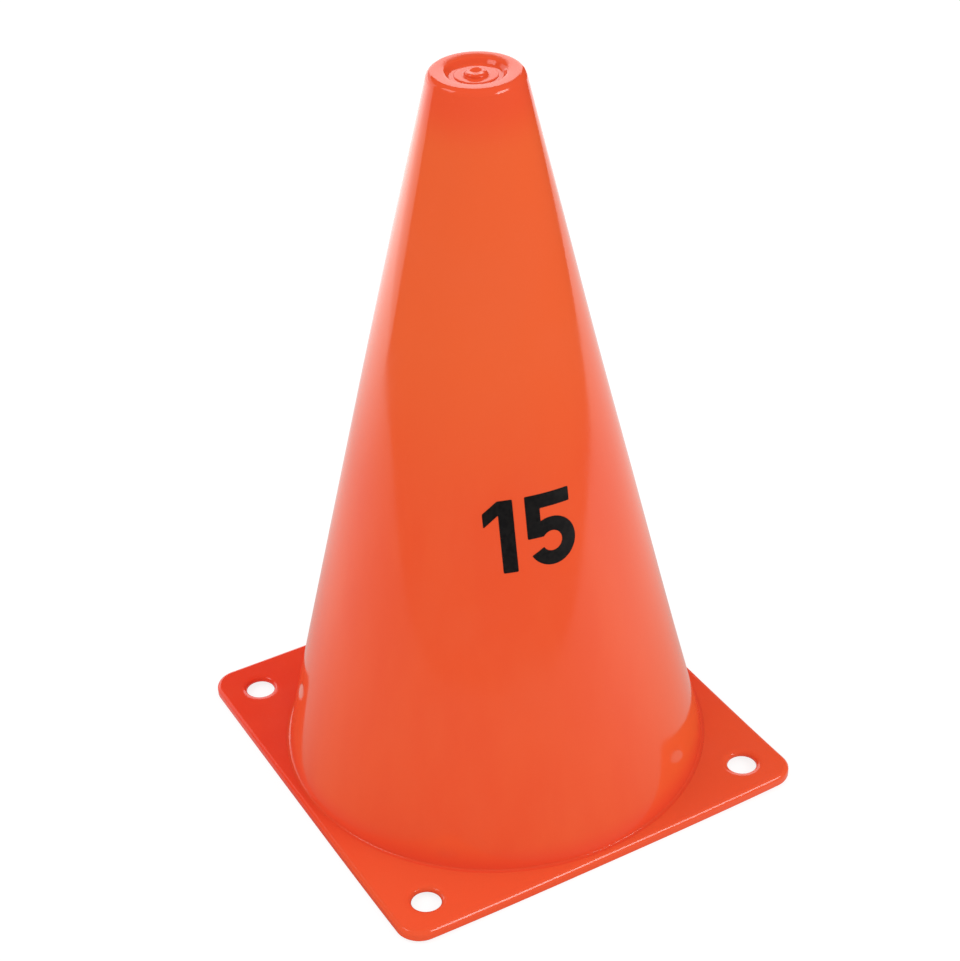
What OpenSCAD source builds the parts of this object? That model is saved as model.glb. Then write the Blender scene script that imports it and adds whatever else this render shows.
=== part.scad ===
// Sports marker cone: a hollow moulded cone on a square base with four peg holes.
// Millimetres, +Z up. The origin is on the ground, under the middle of the base.
// The base's sides lie along X and Y.

/* [Base plate] */
// Side length of the square base
base_w = 138; // [130:1:160]
// Radius of the base's corners, seen from above
corner_r = 7.5; // [4:0.5:12]
// Height of the base's top face over the ground
base_h = 3.4; // [3.2:0.1:5]
// Thickness of the deck inside the lip
deck_t = 1.8; // [1.6:0.1:2.2]
// Width of the lip that runs round the underside
lip_w = 2; // [1.6:0.1:3]
// Radius of the rounding along the upper edge
edge_round = 1.4; // [0.4:0.1:1.5]
// Radius of the rounding along the lower edge
lip_round = 0.4; // [0.2:0.1:0.6]
// Least width of the base outside the cone's seat, at the middle of a side
foot_margin = 2; // [1.8:0.1:4]
// Thickness of the ledge that the cone's foot stands on
ledge_t = 1.4; // [1:0.1:2]

/* [Peg holes] */
// Distance from a hole's centre to each of the two nearest sides
hole_inset = 12.5; // [11:0.5:16]
// Diameter of the holes
hole_d = 9.4; // [6:0.2:12]
// Radius of the rounding round a hole's upper mouth
mouth_round = 1.2; // [0.4:0.1:1.2]
// Radius of the rounding round a hole's lower mouth
mouth_low_round = 0.2; // [0.1:0.1:0.3]

/* [Cone] */
// Overall height over the ground
cone_h = 230; // [180:5:300]
// Radius of the tapering wall, produced to the top face
top_r = 13.2; // [12.5:0.1:18]
// Thickness of the tapering wall, square to it
wall_t = 1.9; // [1.4:0.1:2.4]
// Width of the foot outside the wall, level with the base's top face
foot_w = 1; // [0.6:0.1:1.6]
// Flat width left on the foot outside its fillet
foot_land = 0.1; // [0.1:0.1:0.3]
// Clearance between the foot and the seat in the base, all round
seat_clear = 0.1; // [0.05:0.05:0.3]

/* [Top] */
// Radius of the rounding round the top rim's outer edge
rim_round = 2.2; // [1:0.1:2.5]
// Radius of the shallow recess in the top, where its slope would meet the top face
recess_r = 8.6; // [8:0.1:9]
// Depth of the recess
recess_depth = 1.5; // [1.4:0.1:2]
// Steepness of the recess's side, in degrees from level
recess_slope = 58; // [50:1:70]
// Radius of the rounding round the recess's mouth
recess_round = 0.6; // [0.3:0.1:0.8]
// Radius of the fillet round the recess's floor
floor_fillet = 0.8; // [0.2:0.1:0.9]
// Thickness of the top under the recess
crown_t = 2; // [1.4:0.1:3]
// Radius of the fillet inside the hollow, under the top
inner_fillet = 1.5; // [0.5:0.1:2.5]

/* [Moulding gate] */
// Radius of the low disc on the recess's floor
disc_r = 6; // [5:0.1:6.5]
// Height of the low disc, and radius of its rounded edge
disc_h = 0.2; // [0.1:0.1:0.4]
// Radius of the gate's stub
gate_r = 3.1; // [2.6:0.1:3.5]
// Height of the gate's stub over the disc
gate_h = 1.1; // [0.8:0.1:1.3]
// Radius of the rounding round the stub's top
gate_round = 0.8; // [0.2:0.1:0.8]
// Radius of the dimple in the stub's top
dimple_r = 1.7; // [0.8:0.1:1.8]
// Depth of the dimple
dimple_d = 0.7; // [0.2:0.1:0.8]

/* [Printed number] */
// Height of the number's middle over the ground
print_z = 108; // [60:1:150]
// Turn of the number about the cone's axis, from the -Y side
print_turn = -12; // [-180:0.5:180]
// Height of the digits, along the wall
digit_h = 22; // [20:1:30]
// Width of the one
one_w = 8.5; // [7:0.5:11]
// Width of the five
five_w = 14.5; // [12:0.5:16]
// Space between the digits
digit_gap = 3.5; // [2:0.5:6]
// Width of the digits' strokes
stroke_w = 4.2; // [3:0.2:5]
// How far the one's flag drops towards its tip
flag_drop = 3.5; // [2:0.5:5]
// Thickness of the ink film
ink_t = 0.1; // [0.05:0.05:0.2]

/* [Hidden] */

// Facets of a full turn, of one rounded stretch of an outline and of the five's bowl
$fn = 180;
arc_steps = 8;
bowl_steps = 36;

// Overrun of a cut past the face that it opens
overrun = 1;

// Where the foot sits in the base
seat_r = base_w / 2 - foot_margin;
foot_r = seat_r - seat_clear;
wall_foot_r = foot_r - foot_w;

// The wall's outline: radius lost per unit of height, and its lean from the vertical
wall_slope = (wall_foot_r - top_r) / (cone_h - base_h);
wall_lean = atan(wall_slope);
wall_span = wall_t / cos(wall_lean);
foot_fillet = (foot_w - foot_land) / (1 / cos(wall_lean) - wall_slope);

// The hollow, the recess and the gate
floor_z = cone_h - recess_depth;
ceiling_z = floor_z - crown_t;
disc_z = floor_z + disc_h;
gate_z = disc_z + gate_h;

// The base plate
deck_z = base_h - deck_t;
straight_w = base_w - 2 * corner_r;
opening_r = inner_r(ledge_t);
collar_r = base_w / 2 - lip_w / 2;
hole_r = hole_d / 2;
hole_x = base_w / 2 - hole_inset;

// The printed number's width, the radius of the five's bowl and the angles of the bowl's ends
print_w = one_w + digit_gap + five_w;
bowl_r = five_w / 2;
join_angle = 144;
tail_angle = -152;

// Radius of the outer and of the inner face of the wall at a height
function outer_r(z) = wall_foot_r - wall_slope * (z - base_h);
function inner_r(z) = outer_r(z) - wall_span;

// Point at an angle on a circle, and the points of an arc between two angles
function on_circle(centre, r, angle) = centre + r * [cos(angle), sin(angle)];
function arc(centre, r, from, to, steps = arc_steps) =
    [for (i = [0:steps]) on_circle(centre, r, from + (to - from) * i / steps)];

// Centre of a rounding that lies inside the wall's outer or inner face
function rounding_centre(face_r, r, z) = [face_r - r / cos(wall_lean), z];

// The foot, up the wall and over the rim
function outside_path() =
    let (fillet_z = base_h + foot_fillet)
    let (fillet_centre = [outer_r(fillet_z) + foot_fillet / cos(wall_lean), fillet_z])
    let (rim_z = cone_h - rim_round)
    concat(
        [[foot_r, ledge_t], [foot_r, base_h]],
        arc(fillet_centre, foot_fillet, 270, 180 + wall_lean),
        arc(rounding_centre(outer_r(rim_z), rim_round, rim_z), rim_round, wall_lean, 90));

// Down the recess's side to its floor
function recess_path() =
    let (half_turn = tan(recess_slope / 2))
    let (mouth_centre = [recess_r + recess_round * half_turn, cone_h - recess_round])
    let (floor_r = recess_r - recess_depth / tan(recess_slope) - floor_fillet * half_turn)
    concat(
        arc(mouth_centre, recess_round, 90, 90 + recess_slope),
        arc([floor_r, floor_z + floor_fillet], floor_fillet, recess_slope - 90, -90));

// Over the disc and the stub, and down the dimple to the axis
function gate_path() =
    let (curve_r = (dimple_r * dimple_r + dimple_d * dimple_d) / (2 * dimple_d))
    let (dimple_centre = [0, gate_z - dimple_d + curve_r])
    concat(
        arc([disc_r - disc_h, floor_z], disc_h, 0, 90),
        [[gate_r, disc_z]],
        arc([gate_r - gate_round, gate_z - gate_round], gate_round, 0, 90),
        arc(dimple_centre, curve_r, asin(dimple_r / curve_r) - 90, -90));

// Under the top and down the inside of the wall
function inside_path() =
    let (fillet_z = ceiling_z - inner_fillet)
    concat(
        [[0, ceiling_z]],
        arc(rounding_centre(inner_r(fillet_z), inner_fillet, fillet_z), inner_fillet, 90, wall_lean),
        [[inner_r(ledge_t), ledge_t]]);

module cone_body() {
    color("orangered")
        rotate_extrude()
            polygon(concat(outside_path(), recess_path(), gate_path(), inside_path()));
}

// Section through the base's border, from the corner's axis out to its side
module border_section() {
    polygon(concat(
        [[0, base_h], [0, deck_z], [corner_r - lip_w, deck_z], [corner_r - lip_w, 0]],
        arc([corner_r - lip_round, lip_round], lip_round, -90, 0),
        arc([corner_r - edge_round, base_h - edge_round], edge_round, 0, 90)));
}

// One side of the border and the corner that follows it
module border_quarter() {
    translate([straight_w / 2, straight_w / 2, 0])
        rotate([90, 0, 0])
            linear_extrude(height = straight_w)
                border_section();
    translate([straight_w / 2, straight_w / 2, 0])
        rotate_extrude(angle = 90)
            border_section();
}

// The cut for one peg hole: a bore with both mouths rounded
module peg_hole() {
    low_z = deck_z + mouth_low_round;
    high_z = base_h - mouth_round;
    translate([0, 0, deck_z - overrun])
        cylinder(h = deck_t + 2 * overrun, r = hole_r);
    rotate_extrude()
        polygon(concat(
            [[0, high_z]],
            arc([hole_r + mouth_round, high_z], mouth_round, 180, 90),
            [[hole_r + mouth_round, base_h + overrun], [0, base_h + overrun]]));
    rotate_extrude()
        polygon(concat(
            [[0, low_z]],
            arc([hole_r + mouth_low_round, low_z], mouth_low_round, 180, 270),
            [[hole_r + mouth_low_round, deck_z - overrun], [0, deck_z - overrun]]));
}

module base_plate() {
    color("orangered")
        difference() {
            union() {
                for (turn = [0:90:270])
                    rotate([0, 0, turn])
                        border_quarter();
                translate([-straight_w / 2, -straight_w / 2, deck_z])
                    cube([straight_w, straight_w, deck_t]);
                cylinder(h = deck_z + deck_t / 2, r = collar_r);
            }
            translate([0, 0, -overrun])
                cylinder(h = base_h + 2 * overrun, r = opening_r);
            translate([0, 0, ledge_t])
                cylinder(h = base_h, r = seat_r);
            for (x = [-hole_x, hole_x], y = [-hole_x, hole_x])
                translate([x, y, 0])
                    peg_hole();
        }
}

// Flat outline of the digit one, from its left side at zero: the stem and its slanted flag
module one_outline() {
    half_h = digit_h / 2;
    stem_left = one_w - stroke_w;
    polygon([
        [one_w, -half_h],
        [one_w, half_h],
        [stem_left, half_h],
        [0, half_h - flag_drop],
        [0, half_h - flag_drop - stroke_w],
        [stem_left, half_h - stroke_w],
        [stem_left, -half_h]
    ]);
}

// Flat outline of the digit five, from its left side at zero: the bar, the stem, then round the bowl
module five_outline() {
    half_h = digit_h / 2;
    bowl_centre = [bowl_r, bowl_r - half_h];
    inner_bowl_r = bowl_r - stroke_w;
    stem_end = on_circle(bowl_centre, inner_bowl_r, join_angle)[1];
    leave_angle = acos((stroke_w - bowl_r) / bowl_r);
    bar_right = five_w - stroke_w / 4;
    polygon(concat(
        [[bar_right, half_h], [0, half_h], [0, stem_end]],
        arc(bowl_centre, inner_bowl_r, join_angle, tail_angle, bowl_steps),
        arc(bowl_centre, bowl_r, tail_angle, leave_angle, bowl_steps),
        [[stroke_w, half_h - stroke_w], [bar_right, half_h - stroke_w]]));
}

// A thin skin over the part of the wall that carries the number
module ink_skin() {
    low_z = print_z - digit_h;
    high_z = print_z + digit_h;
    ink_span = ink_t / cos(wall_lean);
    rotate_extrude()
        polygon([
            [outer_r(low_z), low_z],
            [outer_r(low_z) + ink_span, low_z],
            [outer_r(high_z) + ink_span, high_z],
            [outer_r(high_z), high_z]
        ]);
}

// A flat outline cast onto the wall, with its zero at a distance from the number's middle
module cast_on_wall(left) {
    intersection() {
        ink_skin();
        rotate([0, 0, print_turn])
            translate([0, -outer_r(print_z), print_z])
                rotate([90 - wall_lean, 0, 0])
                    translate([left, 0, -print_w / 2])
                        linear_extrude(height = print_w / 2 + overrun)
                            children();
    }
}

module number_print() {
    color("black") {
        cast_on_wall(-print_w / 2)
            one_outline();
        cast_on_wall(print_w / 2 - five_w)
            five_outline();
    }
}

cone_body();
base_plate();
number_print();
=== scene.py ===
"""Looks of the sports marker cone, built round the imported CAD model.

Sizes are in mm and angles in degrees, up to where a mesh, a node or an object takes them.
"""

import math

import bmesh
import bpy
from mathutils import Matrix, Vector, noise
from mathutils.geometry import delaunay_2d_cdt


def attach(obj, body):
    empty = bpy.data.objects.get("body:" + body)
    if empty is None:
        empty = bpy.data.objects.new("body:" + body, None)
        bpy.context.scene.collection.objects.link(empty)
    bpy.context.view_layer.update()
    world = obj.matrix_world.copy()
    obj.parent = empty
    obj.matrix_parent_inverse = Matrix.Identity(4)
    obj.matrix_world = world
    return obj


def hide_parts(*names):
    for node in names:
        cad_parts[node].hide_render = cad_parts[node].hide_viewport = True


MM = 0.001

# The CAD sizes, repeated from part.scad
BASE_W, CORNER_R, BASE_H, DECK_T = 138, 7.5, 3.4, 1.8
LIP_W, LIP_ROUND, FOOT_MARGIN, LEDGE_T = 2, 0.4, 2, 1.4
HOLE_INSET, MOUTH_LOW_ROUND = 12.5, 0.2
CONE_H, TOP_R, WALL_T, FOOT_W, SEAT_CLEAR = 230, 13.2, 1.9, 1, 0.1
RECESS_DEPTH, FLOOR_FILLET, CROWN_T, INNER_FILLET = 1.5, 0.8, 2, 1.5
DISC_R, DISC_H, GATE_R, GATE_H, GATE_ROUND, DIMPLE_R = 6, 0.2, 3.1, 1.1, 0.8, 1.7
PRINT_Z, PRINT_TURN, DIGIT_H, ONE_W, FIVE_W, DIGIT_GAP = 108, -12, 22, 8.5, 14.5, 3.5
STROKE_W, FLAG_DROP, INK_T = 4.2, 3.5, 0.1

# What follows from them
SEAT_R = BASE_W / 2 - FOOT_MARGIN
FOOT_R = SEAT_R - SEAT_CLEAR
WALL_FOOT_R = FOOT_R - FOOT_W
WALL_SLOPE = (WALL_FOOT_R - TOP_R) / (CONE_H - BASE_H)
WALL_LEAN = math.atan(WALL_SLOPE)
WALL_SPAN = WALL_T / math.cos(WALL_LEAN)
FLOOR_Z = CONE_H - RECESS_DEPTH
CEILING_Z = FLOOR_Z - CROWN_T
DECK_Z = BASE_H - DECK_T
COLLAR_R = BASE_W / 2 - LIP_W / 2
HOLE_X = BASE_W / 2 - HOLE_INSET
CORNER_REACH = (BASE_W / 2 - CORNER_R) * math.sqrt(2) + CORNER_R
PRINT_W = ONE_W + DIGIT_GAP + FIVE_W

# Edges in the looks, as stretches of (radius, first tilt, last tilt) from level. The base's edge and the rim
# have a faint flat that glints.
EDGE_BEND = ((1.1, 0, 43), (7.2, 43, 47), (1.1, 47, 90))
RIM_BEND = ((1.8, 0, 59), (7.9, 59, 63), (1.8, 63, 90 - math.degrees(WALL_LEAN)))
MOUTH_BEND = ((6.25, 0, 12), (1.39, 12, 90))

# Other sizes in the looks that depart a little from the CAD ones
LOOK_SLOPE, LOOK_MOUTH, LOOK_RECESS_R, CROWN_DIP = 57, 1.1, 8.3, 0.12
LOOK_FILLET, LOOK_HOLE_R, LOOK_DIMPLE, GATE_ROOT = 0.6, 4.5, 0.35, 0.4
# The seat's upper edge, as steps of (in from the seat, down), which leave a fine seam round the foot
SEAT_EDGE = ((0.06, 0), (0.083, 0.01), (0.09, 0.04))
# The small roundings of the edges under the base, as steps of (into the plastic, along the side), and the
# fillet at the top of its pockets, as steps of (off the side, below the deck)
LOW_EDGE = ((0.2, 0), (0.06, 0.06), (0, 0.2))
POCKET_FILLET = ((0, 0.3), (0.09, 0.09), (0.3, 0))

# How the moulding is out of true: the wall's bow to the side, its lean at the top, its waves and the base's
# curled corners, from the one at -X -Y round to the one at -X +Y
BOW, TOP_LEAN, WAVE, BASE_WAVE = -0.684, -0.28, 0.16, 0.05
CURLS = (0.8, 0.9, 0.2, 0.3)
# Where the waves fade out, and how fast they change round the wall, up the wall and over the base
WAVE_FADE_LOW, WAVE_FADE_HIGH, RIM_TRUE, BASE_FADE = 40, 50, 12, 12
WAVE_ROUND, WAVE_UP, BASE_WAVE_W, BASE_WAVE_SEED = 1.1, 70, 28, 0.4
# The gate's scar: its reach, how far it rises and sinks, its push outwards and how coarse the two are
SCAR_REACH, SCAR_RISE, SCAR_SINK, SCAR_PUSH = 1, 0.3, 0.12, 0.25
RISE_GRAIN, RISE_SEED, PUSH_GRAIN, PUSH_SEED = 2.6, 3.7, 3, 9.1

# The digits: the angles where the five's bowl leaves its stem and ends, the rounding of sharp corners and the
# angle from which a corner is none, the gap between points of a long side, and the ink's lift off the wall
BOWL_JOIN, BOWL_TAIL = 144, -152
INK_ROUND, BLUNT, INK_ROW, INK_LIFT = 0.4, 150, 1, 0.004

# How finely the meshes are made: points round a circle or an arc, rows along a line and the nets' spacings
TURN_STEPS, HOLE_STEPS, ROUND_STEPS, CORNER_STEPS = 288, 64, 8, 12
LIP_STEPS, SMALL_STEPS, LOW_MOUTH_STEPS, COLLAR_STEPS = 6, 4, 5, 60
BOWL_INNER_STEPS, BOWL_OUTER_STEPS = 60, 72
WALL_ROWS, CROWN_ROWS, DISC_ROWS, SIDE_ROWS, POCKET_ROWS = 56, 8, 3, 32, 16
DECK_NET, FOOT_NET, INK_NET = 3, 6, 1.2
# A net's rows lie this share of its spacing apart, and its points keep this share of it from an edge
NET_ROW, NET_CLEAR, NET_TOLERANCE = 0.8660254, 0.55, 1e-7
# Where two faces meet at more than this, the edge between them stays sharp
SHARP = 34

# The cosines and sines of the quarter turns
QUARTERS = ((1, 0), (0, 1), (-1, 0), (0, -1))

# The camera of the photograph: turn, height angle, roll, distance and shift in its own plane
CAM_AZ, CAM_EL, CAM_ROLL = -29.074, 34.8, -1.738
CAM_DIST, CAM_X, CAM_Y = 710.29, -4.931, 80.888
CAM_LENS, SENSOR = 82.657, 36

# Directions seen from the camera: side is its right and near is towards it, on the ground
TURN = math.radians(CAM_AZ)
SIDE = Vector((math.cos(TURN), math.sin(TURN), 0))
NEAR = Vector((math.sin(TURN), -math.cos(TURN), 0))

# Colours. Each turn is painted light or shade: a colour that the plastic takes on along an axis, between two
# places, where light falls more or less.
WHITE, TABLE_WHITE, TABLE_BOUNCE_TINT = (1, 1, 1, 1), (0.92, 0.92, 0.92, 1), (1, 0.77, 0.73, 1)
SPECK, INK_DEEP, INK_LIGHT = (0.96, 0.2, 0.09, 1), (0.008, 0.0075, 0.008, 1), (0.014, 0.0125, 0.012, 1)
WALL_DEEP, WALL_LIGHT = (0.915, 0.1, 0.031, 1), (0.93, 0.112, 0.035, 1)
WALL_PAINTED_LIGHT_AND_SHADE = (
    # Painted light: the wall's +X side, low down and towards the key lamp, lighter and more orange
    ((0.925, 0.13, 0.033, 1), "X", 8, 56),
    # Painted light: the upper wall lighter and more orange
    ((0.925, 0.134, 0.038, 1), "Z", 105, 165),
    # Painted shade: a redder band just under the rim
    ((0.92, 0.1, 0.034, 1), "Z", 212, 226),
    # Painted shade: deeper red towards the foot, where the wall meets the base
    ((0.93, 0.082, 0.031, 1), "Z", 12, 3.4),
)
BASE_DEEP, BASE_LIGHT = (0.93, 0.06, 0.025, 1), (0.945, 0.068, 0.028, 1)
# Painted light and shade: the base lighter and more orange towards -Y, the key lamp's side, and deeper red
# towards +Y, in the cone's shadow
BASE_PAINTED_LIGHT_AND_SHADE = (((0.945, 0.108, 0.037, 1), "Y", 15, -45),)

# Detail of the plastic and the ink: how often each repeats in a metre, and how deep in metres the bumps are
STREAKS, STREAK_STRETCH, CLOUDS, SPECKS, SMUDGES = 70, 0.25, 22, 2600, 45
PEEL, PEEL_DEPTH, RUBS, RUBS_DEPTH = 420, 0.00003, 4200, 0.000006
MESH, MESH_DEPTH, SHEEN = 900, 0.00001, 300
# How much each shows: the noise's values between which it comes, and what it then comes to
TONE_BAND, CLOUD_SHARE, SPECK_BAND, SPECK_SHARE = (0.35, 0.65), 0.5, (0.62, 0.8), 0.25
SMUDGE_BAND, PLASTIC_ROUGH, PEEL_SHARE, RUBS_SHARE = (0.3, 0.75), (0.07, 0.14), 0.25, 0.15
INK_BAND, INK_ROUGH, MESH_SHARE = (0.3, 0.7), (0.28, 0.4), 0.3
PLASTIC_IOR, INK_IOR = 1.5, 1.45
# Where each plastic's noises are taken from, as a seed and its shares along X, Y and Z in metres
WALL_SEED, BASE_SEED, SEED_SHARES = 0.31, 0.87, (1, 0.7, 0.3)

# The light. A strength of 1 is as bright as white paper.
WORLD_FILL, TABLE_GLOW, GLOW_SHARE = 0.8, 1.12, 0.75
KEY, KEY_LEFT, LAMP_AIM = 7.8, 2.9, 100

# The table: its half width, how far it reaches for reflections, and how dim they see it, with painted shade
# and painted orange bounce light near the cone
TABLE_SIZE, TABLE_LEFT, TABLE_RIGHT, TABLE_NEAR, FRONT_TURN = 6000, 520, 440, 297, 30
DIM_TURN, DIM_AHEAD, DIM_BEHIND, DIM_FROM = -12, 0.15, 0.92, -0.2
SHADE_START, SHADE_END, SHADE, BOUNCE_END = 80, 200, 0.74, 450
BRIGHT_BEHIND = (-150, 250, 600, 1, 2.2)

# The dark room in front, and the bright boards and the window behind. BOARD and BRIGHT_BEHIND are ramps: a
# turn, two distances towards it and the strengths at them.
DARK_LEFT, DARK_RIGHT, ROOM_R, ROOM_H = -107, 163, 2000, 1250
DARK_STEPS, DARK_LIFT, CEILING_R, CEILING_STEP = 144, 0.3, 2040, 5
BOARD_NEAR, BOARD_NEAR_H, BOARD_FAR_H, BOARD = -139, 300, 520, (-150, 400, 680, 0.9, 2.1)
BACK_END, BACK_R, BACK, CARD_STEPS = 197, 1960, 1.8, 24
WINDOW_START, WINDOW_END, WINDOW_R, WINDOW_LOW, WINDOW_HIGH, WINDOW = 165, 196, 1940, 880, 1240, 1.95


def outer_r(z):
    return WALL_FOOT_R - WALL_SLOPE * (z - BASE_H)


def inner_r(z):
    return outer_r(z) - WALL_SPAN


def eased(t):
    """A soft step from 0 to 1."""
    t = min(1, max(0, t))
    return t * t * (3 - 2 * t)


def arc(centre, r, start, end, steps=ROUND_STEPS):
    """Points of an arc between two angles."""
    points = []
    for i in range(steps + 1):
        a = math.radians(start + (end - start) * i / steps)
        points.append((centre[0] + r * math.cos(a), centre[1] + r * math.sin(a)))
    return points


def bend(start, stretches, out=1):
    """Points outwards and down over an edge from its level start, or inwards where out is -1."""
    points = [start]
    for r, first, last in stretches:
        x, z = points[-1]
        a = math.radians(first)
        for i in range(1, ROUND_STEPS + 1):
            b = math.radians(first + (last - first) * i / ROUND_STEPS)
            points.append((x + out * r * (math.sin(b) - math.sin(a)), z - r * (math.cos(a) - math.cos(b))))
    return points


def line(a, b, rows):
    """Points between two points, without the ends."""
    return [
        (a[0] + (b[0] - a[0]) * i / rows, a[1] + (b[1] - a[1]) * i / rows)
        for i in range(1, rows)
    ]


def mesh_piece(name, verts, faces, material, node):
    """A piece from points in mm, smooth but for its sharp edges, that stands for a CAD node."""
    mesh = bpy.data.meshes.new(name)
    mesh.from_pydata([tuple(c * MM for c in v) for v in verts], [], faces)
    bm = bmesh.new()
    bm.from_mesh(mesh)
    bmesh.ops.recalc_face_normals(bm, faces=bm.faces)
    open_edges = sum(1 for e in bm.edges if len(e.link_faces) != 2)
    print(f"{name}: {len(bm.verts)} points, {len(bm.faces)} faces, {open_edges} open edges")
    bm.to_mesh(mesh)
    bm.free()
    mesh.shade_smooth()
    mesh.set_sharp_from_angle(angle=math.radians(SHARP))
    mesh.materials.append(material)
    piece = bpy.data.objects.new(name, mesh)
    bpy.context.collection.objects.link(piece)
    weighted = piece.modifiers.new("flat_normals", "WEIGHTED_NORMAL")
    weighted.keep_sharp = True
    weighted.weight = 100
    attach(piece, "root")
    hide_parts(node)


# The cone


def settled(x, y, z):
    """Where a point of the true cone lies on the moulded one, which waves a little and bows to the side."""
    angle = math.atan2(y, x)
    fade = eased((z - BASE_H) / WAVE_FADE_LOW) * eased((CONE_H - RIM_TRUE - z) / WAVE_FADE_HIGH)
    place = Vector((WAVE_ROUND * math.cos(angle), WAVE_ROUND * math.sin(angle), z / WAVE_UP))
    wave = fade * WAVE * noise.noise(place)
    u = max(0, z - BASE_H) / (CONE_H - BASE_H)
    shift = 4 * BOW * u * (1 - u) + TOP_LEAN * u ** 3
    return (x + wave * math.cos(angle) + shift * SIDE.x, y + wave * math.sin(angle) + shift * SIDE.y, z)


def crown_profile():
    """Points from the rim's rounding, over the crown and down to the recess's floor."""
    reach, rim_z = bend((0, CONE_H), RIM_BEND)[-1]
    crest_r = outer_r(rim_z) - reach
    rim = bend((crest_r, CONE_H), RIM_BEND)[::-1]
    # The crown falls a little towards the recess
    half_turn = math.tan(math.radians(LOOK_SLOPE / 2))
    mouth_r = LOOK_RECESS_R + LOOK_MOUTH * half_turn
    tilt = math.atan(2 * CROWN_DIP / (crest_r - mouth_r))
    crown = []
    for i in range(1, CROWN_ROWS):
        t = i / CROWN_ROWS
        crown.append((crest_r + (mouth_r - crest_r) * t, CONE_H - CROWN_DIP * t * t))
    mouth_z = CONE_H - CROWN_DIP - LOOK_MOUTH * math.cos(tilt)
    mouth_centre = (mouth_r + LOOK_MOUTH * math.sin(tilt), mouth_z)
    mouth = arc(mouth_centre, LOOK_MOUTH, 90 + math.degrees(tilt), 90 + LOOK_SLOPE)
    floor_r = LOOK_RECESS_R - RECESS_DEPTH / math.tan(math.radians(LOOK_SLOPE)) - FLOOR_FILLET * half_turn
    floor = arc((floor_r, FLOOR_Z + FLOOR_FILLET), FLOOR_FILLET, LOOK_SLOPE - 90, -90)
    return rim + crown + mouth + floor


def gate_profile():
    """Points over the gate: a low disc, a stub with a rounded top, and a dimple in it."""
    disc_z = FLOOR_Z + DISC_H
    gate_z = disc_z + GATE_H
    disc = arc((DISC_R - DISC_H, FLOOR_Z), DISC_H, 0, 90, SMALL_STEPS)
    stub = arc((GATE_R + GATE_ROOT, disc_z + GATE_ROOT), GATE_ROOT, -90, -180, SMALL_STEPS)
    stub += arc((GATE_R - GATE_ROUND, gate_z - GATE_ROUND), GATE_ROUND, 0, 90)
    bowl_r = (DIMPLE_R ** 2 + LOOK_DIMPLE ** 2) / (2 * LOOK_DIMPLE)
    spread = math.degrees(math.asin(DIMPLE_R / bowl_r))
    dimple = arc((0, gate_z - LOOK_DIMPLE + bowl_r), bowl_r, spread - 90, -90)
    dimple[-1] = (0, gate_z - LOOK_DIMPLE)
    return disc + line(disc[-1], stub[0], DISC_ROWS) + stub + dimple


def cone_profile():
    """Points from the foot's underside, up the outside, over the top and down the inside."""
    lean = math.degrees(WALL_LEAN)
    fillet_z = BASE_H + LOOK_FILLET
    foot_centre = (outer_r(fillet_z) + LOOK_FILLET / math.cos(WALL_LEAN), fillet_z)
    foot = [(FOOT_R, LEDGE_T), (FOOT_R, BASE_H)] + arc(foot_centre, LOOK_FILLET, 270, 180 + lean)
    top = crown_profile() + gate_profile()
    top_z = CEILING_Z - INNER_FILLET
    top_centre = (inner_r(top_z) - INNER_FILLET / math.cos(WALL_LEAN), top_z)
    ceiling = arc(top_centre, INNER_FILLET, 90, lean)
    inner_foot = (inner_r(LEDGE_T), LEDGE_T)
    outside = foot + line(foot[-1], top[0], WALL_ROWS) + top
    inside_wall = [(0, CEILING_Z)] + ceiling + line(ceiling[-1], inner_foot, WALL_ROWS) + [inner_foot]
    return outside + inside_wall


def gate_scar(x, y, z):
    """The torn-off gate isn't even: its stub is drawn a little out of round and out of level."""
    r = math.hypot(x, y)
    if z < FLOOR_Z or r > GATE_R + SCAR_REACH:
        return (x, y, z)
    share = eased((z - FLOOR_Z - DISC_H) / GATE_H) * eased((GATE_R + SCAR_REACH - r) / SCAR_REACH)
    rise = SCAR_RISE * noise.noise(Vector((x / RISE_GRAIN, y / RISE_GRAIN, RISE_SEED))) - SCAR_SINK
    push = SCAR_PUSH * noise.noise(Vector((x / PUSH_GRAIN, y / PUSH_GRAIN, PUSH_SEED)))
    grow = 1 + share * push / max(r, 1)
    return (x * grow, y * grow, z + share * rise)


def lathe(profile, steps):
    """Points and faces of a closed outline turned round the Z axis."""
    verts, rings, faces = [], [], []
    for r, z in profile:
        rings.append(list(range(len(verts), len(verts) + (steps if r > 0 else 1))))
        for i in range(len(rings[-1])):
            a = 2 * math.pi * i / steps
            verts.append(settled(*gate_scar(r * math.cos(a), r * math.sin(a), z)))
    for k, low in enumerate(rings):
        high = rings[(k + 1) % len(rings)]
        if len(low) == 1 and len(high) == 1:
            continue
        for i in range(steps):
            j = (i + 1) % steps
            if len(low) == 1:
                faces.append((low[0], high[j], high[i]))
            elif len(high) == 1:
                faces.append((low[i], low[j], high[0]))
            else:
                faces.append((low[i], low[j], high[j], high[i]))
    return verts, faces


# The base


def curled(x, y, z):
    """Where a point of the true base lies on the moulded one, whose corners curl up a little."""
    r = math.hypot(x, y)
    corner = (1 if x > 0 else 0) if y < 0 else (2 if x > 0 else 3)
    out = max(0, (r - SEAT_R) / (CORNER_REACH - SEAT_R))
    place = Vector((x / BASE_WAVE_W, y / BASE_WAVE_W, BASE_WAVE_SEED))
    wave = BASE_WAVE * eased((r - SEAT_R) / BASE_FADE) * (1 + noise.noise(place))
    return (x, y, z + CURLS[corner] * out * out + wave)


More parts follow.
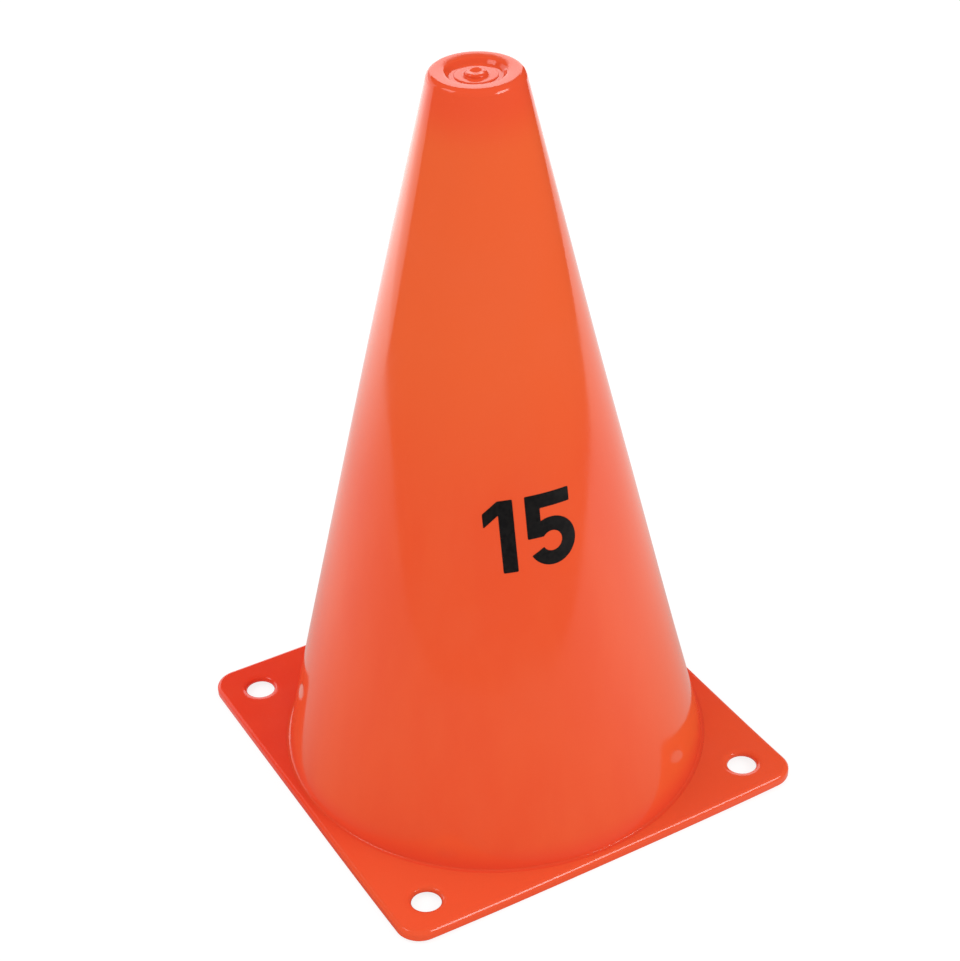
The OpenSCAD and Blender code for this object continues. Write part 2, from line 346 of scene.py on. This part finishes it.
def square_outline(inset):
    """The base's rounded square, drawn in by inset."""
    half, r = BASE_W / 2 - inset, CORNER_R - inset
    c = half - r
    centres = ((c, c), (-c, c), (-c, -c), (c, -c))
    side_ends = ((-c, half), (-half, -c), (c, -half), (half, c))
    points = []
    for k, (centre, side_end) in enumerate(zip(centres, side_ends)):
        points.extend(arc(centre, r, 90 * k, 90 * k + 90, CORNER_STEPS))
        points.extend(line(points[-1], side_end, SIDE_ROWS))
    return points


def circle(x, y, r, steps):
    return arc((x, y), r, 0, 360, steps)[:-1]


def pocket_outline(quarter, inset):
    """The hollow under one corner, between the lip and the collar round the opening, drawn in by inset."""
    wall = BASE_W / 2 - LIP_W - inset
    r = CORNER_R - LIP_W - inset
    collar = COLLAR_R + inset
    meet = math.degrees(math.acos(wall / collar))
    start = (wall, collar * math.sin(math.radians(meet)))
    c = BASE_W / 2 - CORNER_R
    points = [start] + line(start, (wall, c), POCKET_ROWS) + arc((c, c), r, 0, 90, CORNER_STEPS)
    points += line(points[-1], (start[1], wall), POCKET_ROWS)
    points += arc((0, 0), collar, 90 - meet, meet, COLLAR_STEPS)[:-1]
    cos, sin = quarter
    return [(x * cos - y * sin, x * sin + y * cos) for x, y in points]


class Sheet:
    """Collects loops of points at one height each, strips between them and flat fills."""

    def __init__(self):
        self.verts, self.faces = [], []

    def loop(self, outline, z):
        start = len(self.verts)
        self.verts.extend((x, y, z) for x, y in outline)
        return list(range(start, len(self.verts)))

    def strips(self, loops):
        for low, high in zip(loops, loops[1:]):
            for i in range(len(low)):
                j = (i + 1) % len(low)
                self.faces.append((low[i], low[j], high[j], high[i]))

    def net(self, rings, spacing):
        """Points of a net of equal triangles, within the first ring and outside the others."""
        points = []
        reach = int(BASE_W / 2 / spacing) + 1
        for ix in range(-reach, reach + 1):
            for iy in range(-reach, reach + 1):
                p = ((ix + 0.5 * (iy % 2)) * spacing, iy * spacing * NET_ROW)
                if inside(p, rings[0]) and not any(inside(p, r) for r in rings[1:]):
                    if min(gap(p, r) for r in rings) > NET_CLEAR * spacing:
                        points.append(p)
        return points

    def fill(self, outer, holes, z, spacing):
        """A flat face with holes, on a net of points so that it can take a gentle warp."""
        ids, edges, spans = [], [], []
        for ring in [outer] + holes:
            start = len(ids)
            ids.extend(ring)
            spans.append((start, len(ids)))
            edges.extend((start + i, start + (i + 1) % len(ring)) for i in range(len(ring)))
        rings = [[self.verts[i][:2] for i in ring] for ring in [outer] + holes]
        ids.extend(self.loop(self.net(rings, spacing), z))
        flat = [Vector(self.verts[i][:2]) for i in ids]
        triangles, origins = delaunay_2d_cdt(flat, edges, [], 0, NET_TOLERANCE, True)[2:4]
        back = [o[0] for o in origins]
        turns = [anticlockwise(r) for r in rings]
        for triangle in triangles:
            corners = sorted(back[i] for i in triangle)
            same_ring = [
                n for n, (first, last) in enumerate(spans)
                if first <= corners[0] and corners[2] < last
            ]
            # A triangle between corners of one ring turns as the ring does where it lies within the ring
            if same_ring:
                n = same_ring[0]
                within = anticlockwise([flat[i] for i in corners]) == turns[n]
                if within != (n == 0):
                    continue
            self.faces.append(tuple(ids[back[i]] for i in triangle))


def anticlockwise(ring):
    x0, y0 = ring[0]
    twice_area = 0
    for i in range(len(ring)):
        (x1, y1), (x2, y2) = ring[i - 1], ring[i]
        twice_area += (x1 - x0) * (y2 - y0) - (x2 - x0) * (y1 - y0)
    return twice_area > 0


def inside(p, ring):
    hit = False
    x, y = p
    for i in range(len(ring)):
        (x1, y1), (x2, y2) = ring[i - 1], ring[i]
        if (y1 > y) != (y2 > y) and x < x1 + (y - y1) * (x2 - x1) / (y2 - y1):
            hit = not hit
    return hit


def gap(p, ring):
    return min(math.hypot(p[0] - x, p[1] - y) for x, y in ring)


def base_edge():
    """Steps of (inset, height) over the base's edge: its rounding, its side and the lip's foot."""
    reach = bend((0, BASE_H), EDGE_BEND)[-1][0]
    rounding = [(reach - x, z) for x, z in bend((0, BASE_H), EDGE_BEND)]
    return rounding + arc((LIP_ROUND, LIP_ROUND), LIP_ROUND, 180, 270, LIP_STEPS)


def seat_profile():
    """Steps of (radius, height) down the seat, over the ledge and through the opening."""
    opening_r = inner_r(LEDGE_T)
    steps = [(SEAT_R - inwards, BASE_H - down) for inwards, down in SEAT_EDGE]
    steps.append((steps[-1][0], LEDGE_T))
    steps += [(opening_r + out, LEDGE_T - down) for out, down in LOW_EDGE]
    return steps + [(opening_r + out, up) for out, up in reversed(LOW_EDGE)]


def hole_profile():
    """Steps of (radius, height) down a corner hole, from its wide soft mouth."""
    reach = -bend((0, BASE_H), MOUTH_BEND, -1)[-1][0]
    low_centre = (LOOK_HOLE_R + MOUTH_LOW_ROUND, DECK_Z + MOUTH_LOW_ROUND)
    low_mouth = arc(low_centre, MOUTH_LOW_ROUND, 180, 270, LOW_MOUTH_STEPS)
    return bend((LOOK_HOLE_R + reach, BASE_H), MOUTH_BEND, -1) + low_mouth


def base_mesh():
    s = Sheet()
    edge = [s.loop(square_outline(inset), z) for inset, z in base_edge()]
    s.strips(edge)
    seat = [s.loop(circle(0, 0, r, TURN_STEPS), z) for r, z in seat_profile()]
    s.strips(seat)
    bores, pockets, ceilings = [], [], []
    pocket_sides = [(-out, up) for out, up in LOW_EDGE]
    pocket_sides += [(inset, DECK_Z - below) for inset, below in POCKET_FILLET]
    for quarter in QUARTERS:
        cos, sin = quarter
        x, y = HOLE_X * (cos - sin), HOLE_X * (sin + cos)
        bore = [s.loop(circle(x, y, r, HOLE_STEPS), z) for r, z in hole_profile()]
        s.strips(bore)
        bores.append(bore)
        wall = [s.loop(pocket_outline(quarter, inset), z) for inset, z in pocket_sides]
        s.strips(wall)
        pockets.append(wall[0])
        ceilings.append(wall[-1])
    s.fill(edge[0], [seat[0]] + [bore[0] for bore in bores], BASE_H, DECK_NET)
    s.fill(edge[-1], [seat[-1]] + pockets, 0, FOOT_NET)
    for ceiling, bore in zip(ceilings, bores):
        s.fill(ceiling, [bore[-1]], DECK_Z, DECK_NET)
    return [curled(*v) for v in s.verts], s.faces


# The printed number


def one_outline():
    """A plain one, a stem with a slanted flag, from its left side at 0."""
    half_h, stem_left = DIGIT_H / 2, ONE_W - STROKE_W
    return [
        (ONE_W, -half_h),
        (ONE_W, half_h),
        (stem_left, half_h),
        (0, half_h - FLAG_DROP),
        (0, half_h - FLAG_DROP - STROKE_W),
        (stem_left, half_h - STROKE_W),
        (stem_left, -half_h),
    ]


def five_outline():
    """A plain five, a bar, a stem and a bowl, from its left side at 0."""
    half_h, bowl_r = DIGIT_H / 2, FIVE_W / 2
    centre = (bowl_r, bowl_r - half_h)
    inner = bowl_r - STROKE_W
    stem_end = centre[1] + inner * math.sin(math.radians(BOWL_JOIN))
    bar_right = FIVE_W - STROKE_W / 4
    leave = math.degrees(math.acos((STROKE_W - bowl_r) / bowl_r))
    top = [(bar_right, half_h), (0, half_h), (0, stem_end)]
    bowl = arc(centre, inner, BOWL_JOIN, BOWL_TAIL, BOWL_INNER_STEPS)
    bowl += arc(centre, bowl_r, BOWL_TAIL, leave, BOWL_OUTER_STEPS)
    return top + bowl + [(STROKE_W, half_h - STROKE_W), (bar_right, half_h - STROKE_W)]


def soften(ring, r):
    """Rounds the sharp corners of an outline by about r, and adds points along its long sides."""
    rounded = []
    for i in range(len(ring)):
        p, q, s = Vector(ring[i - 1]), Vector(ring[i]), Vector(ring[(i + 1) % len(ring)])
        a, b = (p - q), (s - q)
        if min(a.length, b.length) < 2 * r or a.angle(b) > math.radians(BLUNT):
            rounded.append(tuple(q))
            continue
        a, b = q + a.normalized() * r, q + b.normalized() * r
        for t in (k / SMALL_STEPS for k in range(SMALL_STEPS + 1)):
            rounded.append(tuple(a * (1 - t) ** 2 + q * (2 * t * (1 - t)) + b * t * t))
    dense = []
    for i, p in enumerate(rounded):
        q = rounded[(i + 1) % len(rounded)]
        dense.append(p)
        dense.extend(line(p, q, max(1, round(math.dist(p, q) / INK_ROW))))
    return dense


def on_wall(u, v, lift):
    """Where the line through (u, v) of the print, along the wall's normal at its middle, meets the wall."""
    turn = math.radians(PRINT_TURN)
    side = Vector((math.cos(turn), math.sin(turn), 0))
    out = Vector((math.sin(turn), -math.cos(turn), 0))
    up = Vector((0, 0, 1))
    normal = out * math.cos(WALL_LEAN) + up * math.sin(WALL_LEAN)
    upwards = up * math.cos(WALL_LEAN) - out * math.sin(WALL_LEAN)
    p = out * outer_r(PRINT_Z) + up * PRINT_Z + side * u + upwards * v
    # The lifted wall's radius falls with height, so the distance along the normal solves a quadratic
    k = WALL_SLOPE
    radius = outer_r(p.z) + lift / math.cos(WALL_LEAN)
    a = normal.x ** 2 + normal.y ** 2 - (k * normal.z) ** 2
    b = 2 * (p.x * normal.x + p.y * normal.y + radius * k * normal.z)
    c = p.x ** 2 + p.y ** 2 - radius ** 2
    t = (-b + math.sqrt(b * b - 4 * a * c)) / (2 * a)
    return settled(*(p + normal * t))


def digit_mesh(outline, left):
    """The ink film: a flat digit cast onto the wall."""
    ring = soften([(x + left, y) for x, y in outline], INK_ROUND)
    s = Sheet()
    s.fill(s.loop(ring, 0), [], 0, INK_NET)
    flat, top = [v[:2] for v in s.verts], list(s.faces)
    n = len(flat)
    verts = [on_wall(u, v, INK_T) for u, v in flat] + [on_wall(u, v, INK_LIFT) for u, v in flat]
    faces = top + [tuple(n + i for i in reversed(f)) for f in top]
    for i in range(len(ring)):
        j = (i + 1) % len(ring)
        faces.append((i, j, n + j, n + i))
    return verts, faces


# Materials


class Graph:
    """Short calls for making the nodes of a material, or of the world."""

    def __init__(self, owner, output="OutputMaterial"):
        owner.use_nodes = True
        self.owner, self.tree = owner, owner.node_tree
        self.tree.nodes.clear()
        self.output = self.add(output)

    def add(self, kind, **inputs):
        """A node with its inputs set by name: a socket is linked and anything else is its value."""
        node = self.tree.nodes.new("ShaderNode" + kind)
        for key, value in inputs.items():
            self.put(node.inputs[key.replace("_", " ")], value)
        return node

    def put(self, socket, value):
        if isinstance(value, bpy.types.NodeSocket):
            self.tree.links.new(value, socket)
        else:
            socket.default_value = value

    def finish(self, shader):
        """Puts a shader on the surface and gives back the finished material or world."""
        self.put(self.output.inputs["Surface"], shader.outputs[0])
        return self.owner

    def surface(self, tone, rough, normal, ior):
        """Finishes a plain glossy or satin surface."""
        shader = self.add("BsdfPrincipled", Base_Color=tone, Roughness=rough, Normal=normal, IOR=ior)
        return self.finish(shader)

    def where(self):
        """Places on the object, in metres."""
        return self.add("TexCoord").outputs["Object"]

    def worked(self, kind, operation, a, b=None):
        """A maths node of either kind on one or two values."""
        node = self.add(kind)
        node.operation = operation
        self.put(node.inputs[0], a)
        if b is not None:
            self.put(node.inputs[1], b)
        return node

    def times(self, a, b):
        return self.worked("Math", "MULTIPLY", a, b).outputs[0]

    def noise(self, where, scale, detail=2.0, rough=0.5):
        node = self.add("TexNoise", Vector=where, Scale=scale, Detail=detail, Roughness=rough)
        return node.outputs["Fac"]

    def ranged(self, value, low, high, to_low, to_high, curve="SMOOTHSTEP"):
        node = self.add("MapRange")
        node.interpolation_type = curve
        for socket, v in zip(node.inputs[:5], (value, low, high, to_low, to_high)):
            self.put(socket, v)
        return node.outputs[0]

    def mix(self, share, a, b):
        node = self.add("Mix")
        node.data_type = "RGBA"
        self.put(node.inputs["Factor"], share)
        self.put(node.inputs["A"], a)
        self.put(node.inputs["B"], b)
        return node.outputs["Result"]

    def blend(self, share, a, b):
        """A shader between two shaders."""
        node = self.add("MixShader")
        for socket, value in zip(node.inputs, (share, a.outputs[0], b.outputs[0])):
            self.put(socket, value)
        return node

    def bump(self, height, strength, distance, normal=None):
        node = self.add("Bump", Height=height, Strength=strength, Distance=distance)
        if normal is not None:
            self.put(node.inputs["Normal"], normal)
        return node.outputs["Normal"]


def material_graph(name):
    return Graph(bpy.data.materials.new(name))


def plastic(name, seed, deep, light, turns):
    """Glossy moulded polyethylene: streaks of pigment, a faint orange peel, smudges and fine rubs, with light
    and shade painted into its colour by the turns.
    """
    g = material_graph(name)
    where = g.where()
    at = g.worked("VectorMath", "ADD", where, tuple(seed * share for share in SEED_SHARES)).outputs[0]
    flow = g.add("Mapping", Vector=at, Scale=(1, 1, STREAK_STRETCH)).outputs[0]
    middle = tuple((a + b) / 2 for a, b in zip(deep, light))
    tone = g.mix(g.ranged(g.noise(flow, STREAKS, 3), *TONE_BAND, 0, 1), deep, light)
    tone = g.mix(g.ranged(g.noise(at, CLOUDS), *TONE_BAND, 0, CLOUD_SHARE), tone, middle)
    place = g.add("SeparateXYZ", Vector=where)
    # Painted light and shade: the colour moves towards each turn's colour along its axis
    for colour, axis, start, end in turns:
        low, high, at_low, at_high = (start, end, 0, 1) if start < end else (end, start, 1, 0)
        share = g.ranged(place.outputs[axis], low * MM, high * MM, at_low, at_high)
        tone = g.mix(share, tone, colour)
    tone = g.mix(g.ranged(g.noise(at, SPECKS), *SPECK_BAND, 0, SPECK_SHARE), tone, SPECK)
    rough = g.ranged(g.noise(at, SMUDGES, 4, 0.6), *SMUDGE_BAND, *PLASTIC_ROUGH)
    normal = g.bump(g.noise(at, PEEL), PEEL_SHARE, PEEL_DEPTH)
    normal = g.bump(g.noise(at, RUBS), RUBS_SHARE, RUBS_DEPTH, normal)
    return g.surface(tone, rough, normal, PLASTIC_IOR)


def ink(name):
    """Satin black screen ink, with a faint mesh texture."""
    g = material_graph(name)
    where = g.where()
    mottle = g.noise(where, MESH, 3)
    tone = g.mix(g.ranged(mottle, *INK_BAND, 0, 1), INK_DEEP, INK_LIGHT)
    rough = g.ranged(g.noise(where, SHEEN, 3), *INK_BAND, *INK_ROUGH)
    return g.surface(tone, rough, g.bump(mottle, MESH_SHARE, MESH_DEPTH), INK_IOR)


def ramp(g, turn, start, end, low, high):
    """A value that grows from low to high between two distances towards a turn, on the ground."""
    towards = g.worked("VectorMath", "DOT_PRODUCT", g.where(), around(turn, 1, 0) / MM).outputs["Value"]
    return g.ranged(towards, start * MM, end * MM, low, high, "LINEAR")


def card(name, strength):
    """What a stage card shows to reflections, where a strength of 0 is black and a tuple is a ramp."""
    g = material_graph(name)
    if isinstance(strength, tuple):
        strength = ramp(g, *strength)
    return g.finish(g.add("Emission", Color=WHITE, Strength=strength))


# The studio


def spot(side, near, z):
    """A point of the studio in metres."""
    return (SIDE * side + NEAR * near + Vector((0, 0, z))) * MM


def around(turn, r, z):
    """A point of the studio at a turn from the camera's direction to its right, in metres."""
    a = math.radians(turn)
    return spot(math.sin(a) * r, math.cos(a) * r, z)


def stage_mesh(name, verts, faces, material, for_reflections=True):
    mesh = bpy.data.meshes.new(name)
    mesh.from_pydata([tuple(v) for v in verts], [], faces)
    mesh.materials.append(material)
    obj = bpy.data.objects.new(name, mesh)
    bpy.context.collection.objects.link(obj)
    if for_reflections:
        obj.visible_camera = obj.visible_diffuse = obj.visible_shadow = False
        obj.visible_transmission = obj.visible_volume_scatter = False


def upright_card(name, start, end, r, low, high, strength):
    """A curved card that stands round the scene between two turns."""
    turns = [start + (end - start) * i / CARD_STEPS for i in range(CARD_STEPS + 1)]
    verts = [around(t, r, low) for t in turns] + [around(t, r, high) for t in turns]
    n = len(turns)
    faces = [(i, i + 1, n + i + 1, n + i) for i in range(CARD_STEPS)]
    stage_mesh(name, verts, faces, card(name, strength))


def table_edge(turn):
    """Distance from the cone to the table's end: near in front, further and straight at the sides."""
    side_reach = TABLE_LEFT if turn < 0 else TABLE_RIGHT
    if turn > 90:
        return side_reach / math.sin(math.radians(turn))
    share = eased((abs(turn) - FRONT_TURN) / (90 - FRONT_TURN))
    return TABLE_NEAR + (side_reach - TABLE_NEAR) * share


def dark_room():
    """What reflections see past the table's front and sides: a dark floor, wall and ceiling."""
    turns = [DARK_LEFT + (DARK_RIGHT - DARK_LEFT) * i / DARK_STEPS for i in range(DARK_STEPS + 1)]
    edge = [around(t, table_edge(t), DARK_LIFT) for t in turns]
    low = [around(t, ROOM_R, DARK_LIFT) for t in turns]
    high = [around(t, ROOM_R, ROOM_H) for t in turns]
    n = len(turns)
    faces = []
    for i in range(DARK_STEPS):
        faces.append((i, i + 1, n + i + 1, n + i))
        faces.append((n + i, n + i + 1, 2 * n + i + 1, 2 * n + i))
    stage_mesh("dark_floor", edge + low + high, faces, card("dark_floor", 0))
    rim = [around(t, CEILING_R, ROOM_H) for t in range(0, 360, CEILING_STEP)]
    stage_mesh("dark_ceiling", rim, [tuple(range(len(rim)))], card("dark_ceiling", 0))


def camera():
    a, e, roll = (math.radians(v) for v in (CAM_AZ, CAM_EL, CAM_ROLL))
    back = Vector((math.sin(a) * math.cos(e), -math.cos(a) * math.cos(e), math.sin(e)))
    level = Vector((math.cos(a), math.sin(a), 0))
    upright = back.cross(level)
    right = level * math.cos(roll) + upright * math.sin(roll)
    up = upright * math.cos(roll) - level * math.sin(roll)
    place = (right * CAM_X + up * CAM_Y + back * CAM_DIST) * MM
    data = bpy.data.cameras.new("camera")
    data.lens, data.sensor_width, data.sensor_fit = CAM_LENS, SENSOR, "HORIZONTAL"
    data.clip_start, data.clip_end = 0.01, 100
    cam = bpy.data.objects.new("camera", data)
    bpy.context.collection.objects.link(cam)
    cam.matrix_world = Matrix.Translation(place) @ Matrix((right, up, back)).transposed().to_4x4()
    bpy.context.scene.camera = cam


def lamp(name, turn, r, z, width, height, radiance):
    """A soft light that faces the cone. Radiance is how bright it looks beside a strength of 1."""
    data = bpy.data.lights.new(name, "AREA")
    data.shape, data.size, data.size_y = "RECTANGLE", width * MM, height * MM
    data.energy = radiance * data.size * data.size_y * math.pi
    obj = bpy.data.objects.new(name, data)
    bpy.context.collection.objects.link(obj)
    obj.location = around(turn, r, z)
    obj.rotation_mode = "QUATERNION"
    obj.rotation_quaternion = (obj.location - Vector((0, 0, LAMP_AIM * MM))).to_track_quat("Z", "Y")
    obj.visible_camera = False


def sky():
    """A white surround for the camera, reflections and see-through, and a softer one for the fill light."""
    g = Graph(bpy.data.worlds.new("studio"), "OutputWorld")
    path = g.add("LightPath")
    seen = path.outputs["Is Camera Ray"]
    for other in ("Is Glossy Ray", "Is Transmission Ray"):
        either = g.worked("Math", "ADD", seen, path.outputs[other])
        either.use_clamp = True
        seen = either.outputs[0]
    fill = g.add("Background", Color=WHITE, Strength=WORLD_FILL)
    white = g.add("Background", Color=WHITE, Strength=1)
    bpy.context.scene.world = g.finish(g.blend(seen, fill, white))


def mirrored_table(g):
    """How reflections see the table: dim in front, where the room is dark, and bright towards the boards."""
    where = g.where()
    length = g.worked("VectorMath", "LENGTH", where).outputs["Value"]
    unit = g.worked("VectorMath", "NORMALIZE", where).outputs[0]
    ahead = g.worked("VectorMath", "DOT_PRODUCT", unit, around(DIM_TURN, 1 / MM, 0)).outputs["Value"]
    tone = g.ranged(ahead, DIM_FROM, 1, DIM_BEHIND, DIM_AHEAD)
    # Near the cone its reflection is painted with shade and with the cone's orange bounce light
    shade = g.ranged(length, SHADE_START * MM, SHADE_END * MM, SHADE, 1)
    bounce_tint = g.mix(g.ranged(length, SHADE_START * MM, BOUNCE_END * MM, 0, 1), TABLE_BOUNCE_TINT, WHITE)
    strength = g.times(g.times(tone, shade), ramp(g, *BRIGHT_BEHIND))
    return g.add("Emission", Color=bounce_tint, Strength=strength)


def table():
    """A white table that keeps the cone's shadow, softened for the camera by a plain glow."""
    g = material_graph("table_white")
    path = g.add("LightPath")
    matt = g.add("BsdfDiffuse", Color=TABLE_WHITE)
    glow = g.add("Emission", Color=WHITE, Strength=TABLE_GLOW)
    seen = g.blend(g.times(path.outputs["Is Camera Ray"], GLOW_SHARE), matt, glow)
    material = g.finish(g.blend(path.outputs["Is Glossy Ray"], seen, mirrored_table(g)))
    reach = TABLE_SIZE * MM
    corners = [(-reach, -reach, 0), (reach, -reach, 0), (reach, reach, 0), (-reach, reach, 0)]
    stage_mesh("table", corners, [(0, 1, 2, 3)], material, False)


def studio():
    sky()
    table()
    dark_room()
    # White boards at the left and behind, brighter than the table, and a window behind
    board = ((BOARD_NEAR, 0), (-ROOM_R, 0), (-ROOM_R, BOARD_FAR_H), (BOARD_NEAR, BOARD_NEAR_H))
    corners = [spot(-TABLE_LEFT, near, z) for near, z in board]
    stage_mesh("left_board", corners, [(0, 1, 2, 3)], card("left_board", BOARD))
    upright_card("back_board", DARK_RIGHT, BACK_END, BACK_R, 0, ROOM_H, BACK)
    upright_card("back_window", WINDOW_START, WINDOW_END, WINDOW_R, WINDOW_LOW, WINDOW_HIGH, WINDOW)
    lamp("key_right", turn=62, r=800, z=620, width=460, height=130, radiance=KEY)
    lamp("key_left", turn=-77, r=950, z=1120, width=600, height=500, radiance=KEY_LEFT)


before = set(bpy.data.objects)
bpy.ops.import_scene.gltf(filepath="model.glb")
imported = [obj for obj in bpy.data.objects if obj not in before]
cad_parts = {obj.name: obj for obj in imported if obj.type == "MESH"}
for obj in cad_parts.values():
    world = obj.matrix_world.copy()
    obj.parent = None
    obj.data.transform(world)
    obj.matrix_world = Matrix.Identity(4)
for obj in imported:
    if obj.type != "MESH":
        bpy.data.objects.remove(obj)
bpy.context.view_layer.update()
bpy.context.scene.view_settings.view_transform = "Standard"

camera()
studio()

wall_plastic = plastic("plastic_cone", WALL_SEED, WALL_DEEP, WALL_LIGHT, WALL_PAINTED_LIGHT_AND_SHADE)
base_plastic = plastic("plastic_base", BASE_SEED, BASE_DEEP, BASE_LIGHT, BASE_PAINTED_LIGHT_AND_SHADE)
black = ink("ink_black")
five, one = five_outline(), one_outline()
for name, (verts, faces), material, node, slot in (
    ("cone_shell", lathe(cone_profile(), TURN_STEPS), wall_plastic, "cone_body", "cone_plastic"),
    ("base_sheet", base_mesh(), base_plastic, "base_plate", "base_plastic"),
    ("number_ink", digit_mesh(five, ONE_W + DIGIT_GAP - PRINT_W / 2), black, "number_print", "print_ink"),
    ("number_ink_tens", digit_mesh(one, -PRINT_W / 2), black, "number_print", "print_ink"),
):
    mesh_piece(name, verts, faces, material, node)
